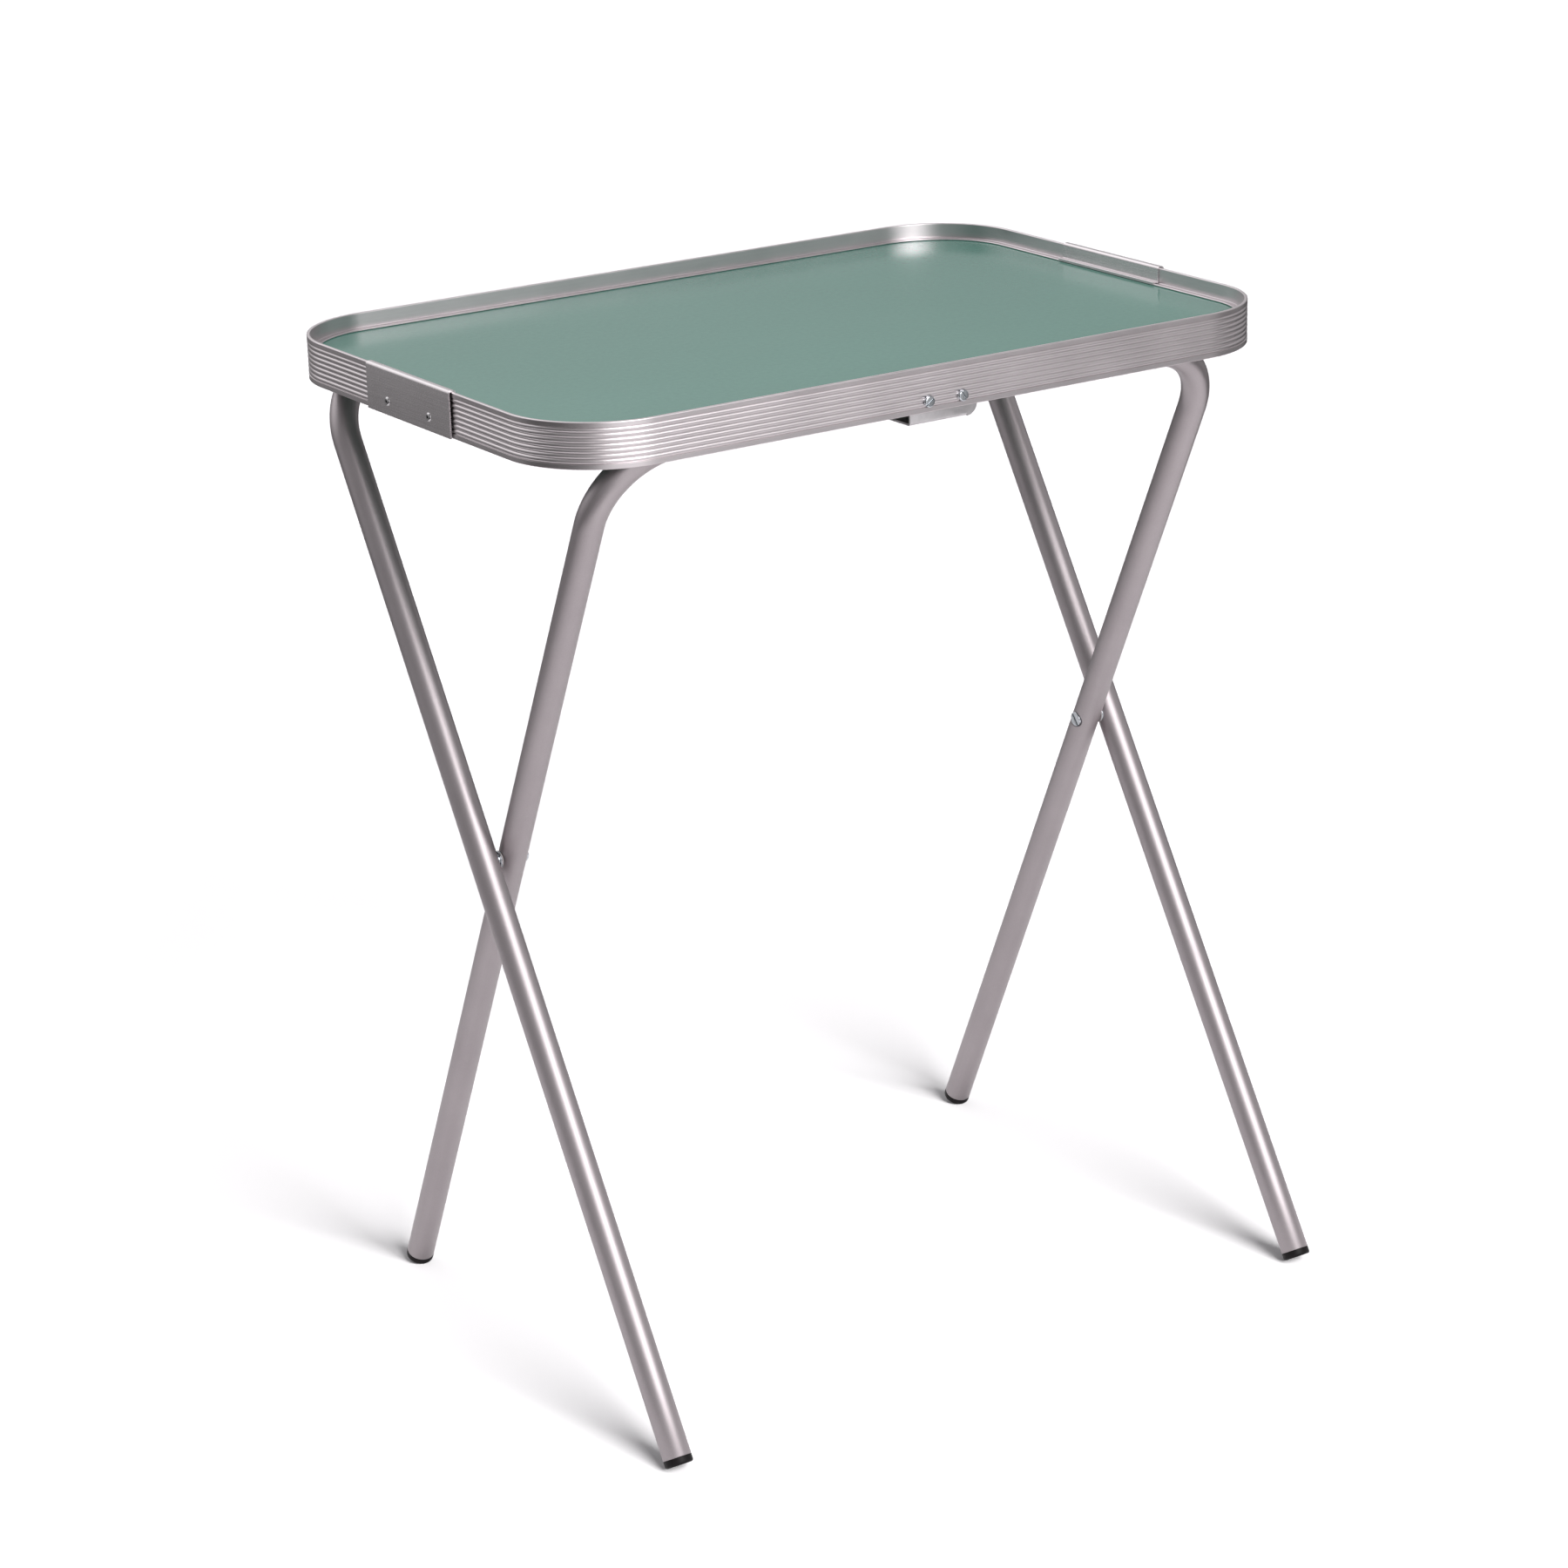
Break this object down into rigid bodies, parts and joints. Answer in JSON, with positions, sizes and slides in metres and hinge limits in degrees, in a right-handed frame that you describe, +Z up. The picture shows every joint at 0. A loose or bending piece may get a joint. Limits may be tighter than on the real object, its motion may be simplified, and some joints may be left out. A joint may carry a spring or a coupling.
{
  "type": "folding side table",
  "caption": "Folding side table with a rounded rectangular green tray top in a ribbed aluminium rim, carried by two U-shaped tube frames that cross, pivot and close like scissors.",
  "frame": {"origin": "on the floor, under the middle of the whole table's footprint (bottom centre of its box)", "axes": "+X along the top's long side, towards the right as seen from the catch side; +Y towards the rear, where the outer leg frame is hinged; +Z up"},
  "size_m": [0.6066, 0.466, 0.7252],
  "materials": {
    "laminate": "satin green laminate",
    "board_core": "raw fibreboard",
    "backing": "matt green balancing sheet",
    "rim_aluminium": "satin anodised extrusion",
    "clip_sheet": "satin sheet",
    "rivets": "dull",
    "tube_paint": "satin silver lacquer on steel tube",
    "bracket_steel": "zinc plated sheet",
    "zinc_fasteners": "bright zinc plated",
    "bearing_plastic": "natural nylon",
    "foot_plastic": "black moulded"
  },
  "bodies": {
    "tabletop": {"top_laminate": "laminate", "top_board": "board_core", "backing_sheet": "backing", "rim_front": "rim_aluminium", "rim_rear": "rim_aluminium", "joint_clip_left": "clip_sheet", "joint_clip_right": "clip_sheet", "clip_rivets_left": "rivets", "clip_rivets_right": "rivets", "front_catch": "bracket_steel", "catch_screws": "zinc_fasteners", "catch_nuts": "zinc_fasteners", "hinge_strap_left": "bracket_steel", "hinge_strap_right": "bracket_steel", "hinge_liner_left": "bearing_plastic", "hinge_liner_right": "bearing_plastic", "strap_screws_left": "zinc_fasteners", "strap_screws_right": "zinc_fasteners", "strap_nuts_left": "zinc_fasteners", "strap_nuts_right": "zinc_fasteners"},
    "outer_frame": {"outer_leg_frame": "tube_paint", "outer_foot_left": "foot_plastic", "outer_foot_right": "foot_plastic", "pivot_insert_left": "zinc_fasteners", "pivot_insert_right": "zinc_fasteners", "pivot_screw_left": "zinc_fasteners", "pivot_screw_right": "zinc_fasteners", "pivot_washer_left": "bearing_plastic", "pivot_washer_right": "bearing_plastic"},
    "inner_frame": {"inner_leg_frame": "tube_paint", "inner_foot_left": "foot_plastic", "inner_foot_right": "foot_plastic"}
  },
  "joints": [
    {"name": "rear_hinge", "type": "hinge", "parent": "tabletop", "child": "outer_frame", "pos_m": [0, 0.20119, 0.697], "axis": [1, 0, 0], "range_deg": [0, 22]},
    {"name": "leg_pivot", "type": "hinge", "parent": "outer_frame", "child": "inner_frame", "pos_m": [0, 0.00512, 0.3785], "axis": [-1, 0, 0], "range_deg": [0, 50]}
  ],
  "couplings": [
    {"joint": "rear_hinge", "follows": "leg_pivot", "ratio": 0.44}
  ]
}
